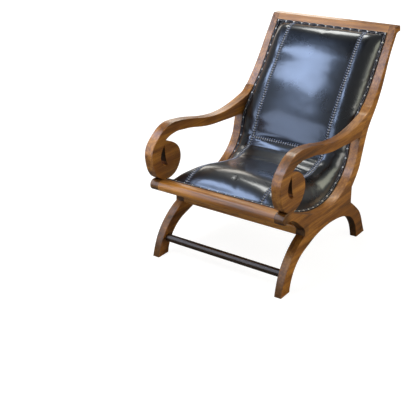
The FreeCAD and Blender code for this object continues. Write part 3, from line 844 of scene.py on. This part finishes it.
def seam_gaps(row, column):
    """Distances from the nearer long seam and from the lumbar seam, which ends at the long ones."""
    elsewhere = 99
    long_steps = min(abs(column - left_seam), abs(column - right_seam))
    lumbar_steps = abs(row - lumbar_row) if left_seam <= column <= right_seam else elsewhere
    return long_steps * skin_pitch, lumbar_steps * skin_pitch


def unevenness(place, row):
    """Soft unevenness of the stuffing, and folds beside the lumbar seam."""
    cloud = noise.noise(place * cloud_waves + Vector((7, 2, 5)))
    dimples = noise.noise(place * dimple_waves)
    folds = noise.noise(Vector((place.x * fold_waves_across, row * skin_pitch * fold_waves_along, 3.0)))
    near_lumbar = math.exp(-((row - lumbar_row) * skin_pitch / fold_reach) ** 2)
    return cloud_height * cloud + dimple_height * dimples + fold_height * folds * near_lumbar


def edge_fade(row, column):
    """Falls from 1 inside the pad to 0 at the rows and columns that the nails hold."""
    rows_in = min(row, row_count - 1 - row) - nailed + 1
    columns_in = min(column, column_count - 1 - column) - nailed + 1
    return max(min(1.0, rows_in / fade_rows, columns_in / fade_columns), 0)


def sew(skin):
    """Draws the seams in and adds the soft folds beside them."""
    bm = bmesh.new()
    bm.from_mesh(skin.data)
    bm.normal_update()
    row_layer = bm.verts.layers.float["row"]
    column_layer = bm.verts.layers.float["column"]
    gap_layer = bm.verts.layers.float.new("seam_gap")
    run_layer = bm.verts.layers.float.new("seam_run")
    inside = nailed - 0.5
    moves = {}
    for vertex in bm.verts:
        row, column = vertex[row_layer], vertex[column_layer]
        vertex[gap_layer] = 1.0
        if not inside <= row <= row_count - 1 - inside or not inside <= column <= column_count - 1 - inside:
            continue
        long_gap, lumbar_gap = seam_gaps(row, column)
        gap = min(long_gap, lumbar_gap)
        vertex[gap_layer] = gap
        vertex[run_layer] = (row if long_gap < lumbar_gap else column) * skin_pitch
        groove = math.exp(-(gap / seam_width) ** 2)
        soft = unevenness(vertex.co, row) * edge_fade(row, column) * (1 - groove)
        moves[vertex] = vertex.normal * (soft - seam_depth * groove)
    for vertex, move in moves.items():
        vertex.co += move
    bm.to_mesh(skin.data)
    bm.free()


def finish_piece(made, slot, *replaced):
    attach(made, "root")
    if replaced:
        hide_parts(*replaced)
    return made


def panel(skin, name, replaced, keep):
    """One panel of the skin: the faces that a test on row and column keeps, with a thickness."""
    bm = bmesh.new()
    bm.from_mesh(skin.data)
    row_layer = bm.verts.layers.float["row"]
    column_layer = bm.verts.layers.float["column"]
    lost = []
    for face in bm.faces:
        row = sum(vertex[row_layer] for vertex in face.verts) / len(face.verts)
        column = sum(vertex[column_layer] for vertex in face.verts) / len(face.verts)
        face.smooth = True
        if not keep(row, column):
            lost.append(face)
    bmesh.ops.delete(bm, geom=lost, context="FACES")
    made = new_object(name, bm)
    made.data.materials.append(hide)
    thick = made.modifiers.new("thickness", "SOLIDIFY")
    thick.thickness = skin_thickness
    thick.offset = -1.0
    finish_piece(made, "leather", replaced)


skin = skin_mesh(evened_rows())
puff_up(skin)
finer(skin)
sew(skin)
skin_tree = BVHTree.FromPolygons(
    [vertex.co for vertex in skin.data.vertices], [polygon.vertices for polygon in skin.data.polygons]
)
panel(skin, "back_centre_panel", "back_centre_leather",
      lambda row, column: left_seam < column < right_seam and row < lumbar_row)
panel(skin, "seat_centre_panel", "seat_centre_leather",
      lambda row, column: left_seam < column < right_seam and row > lumbar_row)
panel(skin, "left_side_panel", "left_side_leather", lambda row, column: column < left_seam)
panel(skin, "right_side_panel", "right_side_leather", lambda row, column: column > right_seam)


# The stuffing, a little inside the leather

def foam_core(part):
    """One block of foam, rounded and drawn in from the CAD foam."""
    bm = bmesh.new()
    bm.from_mesh(nodes[f"{part}_foam"].data)
    bmesh.ops.remove_doubles(bm, verts=bm.verts[:], dist=same_place)
    core = new_object(f"{part}_foam_core", bm)
    remesh = core.modifiers.new("remesh", "REMESH")
    remesh.mode = "VOXEL"
    remesh.voxel_size = foam_voxel
    inward = core.modifiers.new("inward", "DISPLACE")
    inward.mid_level = 0.0
    inward.strength = -foam_inset
    smooth = core.modifiers.new("smooth", "SMOOTH")
    smooth.iterations = foam_smoothing
    mesh = bpy.data.meshes.new_from_object(evaluated(core))
    core.modifiers.clear()
    core.data = mesh
    core.data.materials.append(foam_finish)
    finish_piece(core, "foam", f"{part}_foam")


foam_core("back")
foam_core("seat")


# Each seam has a line of stitches, with a lace slanting in to it from both sides, both coloured pale as
# painted highlight

def stitch_shape(length, radius):
    """One short thick stitch along X, a little flattened."""
    flatness = 0.8
    bm = bmesh.new()
    bmesh.ops.create_icosphere(bm, subdivisions=1, radius=1.0)
    bmesh.ops.scale(bm, vec=(length / 2, radius, radius * flatness), verts=bm.verts[:])
    mesh = bpy.data.meshes.new("stitch_shape")
    bm.to_mesh(mesh)
    bm.free()
    return mesh


def lay_stitches(bm, shape, path, aside, slant, lift):
    """Stitches along a seam's path, set aside from it, each turned to the line."""
    count = int(path.length / stitch_pitch)
    for each in range(count):
        distance = (each + 0.5) * path.length / count
        place = path.at(distance)
        tangent = path.tangent(distance, reach=4 * mm)
        seam_across = skin_tree.find_nearest(place)[1].cross(tangent).normalized()
        spot, normal = skin_tree.find_nearest(place + seam_across * aside)[:2]
        along = (tangent - normal * tangent.dot(normal)).normalized()
        across = normal.cross(along)
        turn = Matrix((along, across, normal)).transposed().to_4x4()
        turn = Matrix.Translation(spot + normal * lift) @ turn @ Matrix.Rotation(slant, 4, "Z")
        start = len(bm.verts)
        bm.from_mesh(shape)
        bm.verts.ensure_lookup_table()
        bmesh.ops.transform(bm, matrix=turn, verts=bm.verts[start:])


def skin_path(picks):
    """A path through the skin's vertices at rows and columns."""
    found = {}
    for vertex, (row, column) in zip(skin.data.vertices, places_of(skin.data)):
        key = (round(row, 2), round(column, 2))
        if picks(*key):
            found[key] = vertex.co.copy()
    return Path([found[key] for key in sorted(found)])


def stitch_piece(name, finish, bm):
    for face in bm.faces:
        face.smooth = True
    made = new_object(name, bm)
    made.data.materials.append(finish)
    finish_piece(made, "leather")


def stitch_seam(name, picks):
    """The beads and the lacing of one seam."""
    line = skin_path(picks)
    beads = bmesh.new()
    lay_stitches(beads, bead, line, 0.0, 0.0, bead_lift)
    stitch_piece(f"{name}_stitches", bead_highlight_finish, beads)
    lacing = bmesh.new()
    for side in (-1, 1):
        lay_stitches(lacing, lace, line, lace_offset * side, -lace_slant * side, lace_lift)
    stitch_piece(f"{name}_lacing", lace_finish, lacing)


bead = stitch_shape(bead_length, bead_radius)
lace = stitch_shape(lace_length, lace_radius)
for name, seam in (("left_seam", left_seam), ("right_seam", right_seam)):
    stitch_seam(name, lambda row, column: column == seam and nailed - 1 < row < row_count - nailed)
stitch_seam("lumbar_seam", lambda row, column: row == lumbar_row and left_seam < column < right_seam)
bpy.data.objects.remove(skin)


# Scalloped cords sewn on the gimp

def cord(name, points):
    """A thin round cord through points, as a curve."""
    curve = bpy.data.curves.new(name, "CURVE")
    curve.dimensions = "3D"
    curve.bevel_depth = cord_radius
    curve.bevel_resolution = 1
    curve.use_fill_caps = True
    spline = curve.splines.new("POLY")
    spline.points.add(len(points) - 1)
    for point, place in zip(spline.points, points):
        point.co = (*place, 1.0)
    made = bpy.data.objects.new(name, curve)
    bpy.context.scene.collection.objects.link(made)
    curve.materials.append(cord_finish)
    finish_piece(made, "gimp")


def over_gimp(x, distance):
    """A point of a cord on the gimp, from X and the distance along the bed."""
    foot = bed.at(distance) + bed.normal(distance) * (gimp_top + cord_radius * cord_rise_share)
    return Vector((x, foot.y, foot.z))


def scallops(name, length, margin, point_at):
    """Two cords that part between the nails and cross at each nail, along a stretch of gimp."""
    arcs = round((length - 2 * margin) / nail_pitch)
    arc_length = (length - 2 * margin) / arcs
    steps = int(length / cord_step)
    for side, sign in (("near", 1), ("far", -1)):
        points = []
        for count in range(steps + 1):
            distance = length * count / steps
            swing = abs(math.sin(math.pi * (distance - margin) / arc_length))
            points.append(point_at(distance, sign * cord_swing * swing))
        cord(f"{name}_{side}_scallop", points)


nail_line = (leather_x + border_x) / 2
for hand, sign in (("left", 1), ("right", -1)):
    scallops(f"{hand}_gimp", bed.length, gimp_width / 2,
             lambda distance, aside: over_gimp(sign * (nail_line + aside), distance))
for part, middle_line in (("top", gimp_width / 2), ("front", bed.length - gimp_width / 2)):
    scallops(f"{part}_gimp", 2 * border_x, -gimp_width / 2,
             lambda distance, aside: over_gimp(distance - border_x, middle_line + aside))


# Floor and backdrop

floor_half = 60.0
floor_grey = (0.86, 0.86, 0.86, 1.0)
white = (1.0, 1.0, 1.0, 1.0)
floor_white = 1.3
near_show, far_show = 0.7, 1.0
near_square, far_square = 0.8, 5.0
gloss_loss = 0.85
room_level = 0.2


def floor_finish():
    """A plain pale floor, which the camera sees nearly white and which gloss mirrors faintly."""
    finish = Finish("studio_floor")
    finish.sets(Base_Color=floor_grey, Roughness=0.9, Specular_IOR_Level=0.0)
    pale = finish.node("ShaderNodeEmission", sockets={"Color": white, "Strength": floor_white})
    dark = finish.node("ShaderNodeEmission", sockets={"Strength": 0.0})
    aside, away = finish.axis("X"), finish.axis("Y")
    far = finish.rise(aside * aside + away * away, near_square, far_square)
    seen = finish.light_path("Is Camera Ray") * (far * (far_show - near_show) + near_show)
    mirrored = finish.light_path("Is Glossy Ray") * gloss_loss
    shown = Wire(finish, finish.shader.outputs[0])
    shown = finish.node("ShaderNodeMixShader", sockets={0: seen, 1: shown, 2: pale})
    shown = finish.node("ShaderNodeMixShader", sockets={0: mirrored, 1: shown, 2: dark})
    finish.join(shown, finish.tree.nodes["Material Output"].inputs["Surface"])
    return finish.material


def flat_card(name, size, place, material):
    """A level rectangle that is staged beside the chair, and is no part of it."""
    bm = bmesh.new()
    bmesh.ops.create_grid(bm, x_segments=1, y_segments=1, size=0.5)
    bmesh.ops.scale(bm, vec=(*size, 1.0), verts=bm.verts[:])
    bmesh.ops.translate(bm, vec=place, verts=bm.verts[:])
    card = new_object(name, bm)
    card.data.materials.append(material)
    return card


flat_card("studio_floor", (2 * floor_half, 2 * floor_half), (0.0, 0.0, 0.0), floor_finish())


def studio_world():
    """An even dim room, which the camera and clear materials see as white."""
    world = bpy.data.worlds.new("studio")
    world.use_nodes = True
    bpy.context.scene.world = world
    tree = world.node_tree
    background = tree.nodes["Background"]
    path = tree.nodes.new("ShaderNodeLightPath")
    seen = tree.nodes.new("ShaderNodeMath")
    seen.operation = "MAXIMUM"
    tree.links.new(path.outputs["Is Camera Ray"], seen.inputs[0])
    tree.links.new(path.outputs["Is Transmission Ray"], seen.inputs[1])
    level = tree.nodes.new("ShaderNodeMath")
    level.operation = "MULTIPLY_ADD"
    level.inputs[1].default_value = 1.0 - room_level
    level.inputs[2].default_value = room_level
    tree.links.new(seen.outputs[0], level.inputs[0])
    tree.links.new(level.outputs[0], background.inputs["Strength"])
    background.inputs["Color"].default_value = white


studio_world()


# Light

cool = (0.54, 0.68, 1.0)
paler_cool = (0.56, 0.69, 1.0)
daylight = (1.0, 0.97, 0.92)
lamp_white = (1.0, 0.98, 0.92)
wall_cream = (1.0, 0.94, 0.84)
warm = (1.0, 0.92, 0.80)
yellow_green = (1.0, 0.97, 0.74)


def soft_light(name, place, target, size, radiance, colour, mirrored=True, shed=True):
    """A rectangular light of an even radiance, seen in gloss, shed on surfaces, or both."""
    lamp = bpy.data.lights.new(name, "AREA")
    lamp.shape = "RECTANGLE"
    lamp.size, lamp.size_y = size
    lamp.energy = radiance * math.pi * size[0] * size[1]
    lamp.color = colour
    made = bpy.data.objects.new(name, lamp)
    made.location = place
    made.rotation_euler = (Vector(target) - Vector(place)).to_track_quat("-Z", "Y").to_euler()
    made.visible_camera = False
    made.visible_glossy = mirrored
    made.visible_diffuse = shed
    bpy.context.scene.collection.objects.link(made)


# At the camera's left, two cool windows that only gloss mirrors, and the light that they shed
soft_light("high_window", place=(-1.45, -0.98, 2.82), target=(-0.52, 0.19, 2.82),
           size=(1.70, 1.08), radiance=8.5, colour=cool, shed=False)
soft_light("low_window", place=(-0.82, -1.47, 1.04), target=(0.11, -0.30, 1.04),
           size=(1.50, 1.46), radiance=2.7, colour=paler_cool, shed=False)
soft_light("room_light", place=(-0.94, -1.38, 2.30), target=(0.0, 0.0, 0.5),
           size=(1.6, 1.6), radiance=5.4, colour=daylight, mirrored=False)

# A lamp behind and above the crest, a pale wall behind, and warm fills at the camera's right
soft_light("crest_light", place=(-0.65, 0.98, 2.60), target=(0.1, 0.39, 0.87),
           size=(0.9, 0.9), radiance=7.0, colour=lamp_white)
soft_light("wall_light", place=(-1.20, 1.50, 1.20), target=(0.0, -0.3, 0.4),
           size=(1.4, 0.7), radiance=2.3, colour=wall_cream)
soft_light("side_light", place=(3.0, -0.2, 0.95), target=(0.0, 0.0, 0.45),
           size=(1.4, 1.4), radiance=3.2, colour=warm)
soft_light("door_light", place=(2.12, 1.32, 1.55), target=(0.24, 0.0, 0.33),
           size=(1.6, 1.0), radiance=2.6, colour=yellow_green)


def crest_flag():
    """A black card that keeps the crest light's reflection off the seat."""
    finish = Finish("black_card")
    finish.sets(Base_Color=(0.0, 0.0, 0.0, 1.0), Roughness=1.0, Specular_IOR_Level=0.0)
    card = flat_card("crest_flag", (0.8, 0.28), (-0.15, 0.29, 1.19), finish.material)
    card.visible_camera = card.visible_diffuse = card.visible_shadow = False


crest_flag()


# Camera

def photograph_camera():
    """The camera at the photograph's place, angle and lens."""
    back = Vector((
        math.sin(camera_azimuth) * math.cos(camera_elevation),
        -math.cos(camera_azimuth) * math.cos(camera_elevation),
        math.sin(camera_elevation),
    ))
    right = Vector((math.cos(camera_azimuth), math.sin(camera_azimuth), 0.0))
    axes = Matrix((right, back.cross(right), back)).transposed()
    data = bpy.data.cameras.new("camera")
    data.sensor_fit = "HORIZONTAL"
    data.sensor_width = camera_sensor
    data.lens = camera_lens
    data.clip_end = camera_reach
    camera = bpy.data.objects.new("camera", data)
    camera.matrix_world = Matrix.Translation(camera_place) @ axes.to_4x4()
    bpy.context.scene.collection.objects.link(camera)
    bpy.context.scene.camera = camera


photograph_camera()
bpy.context.scene.view_settings.view_transform = "Standard"
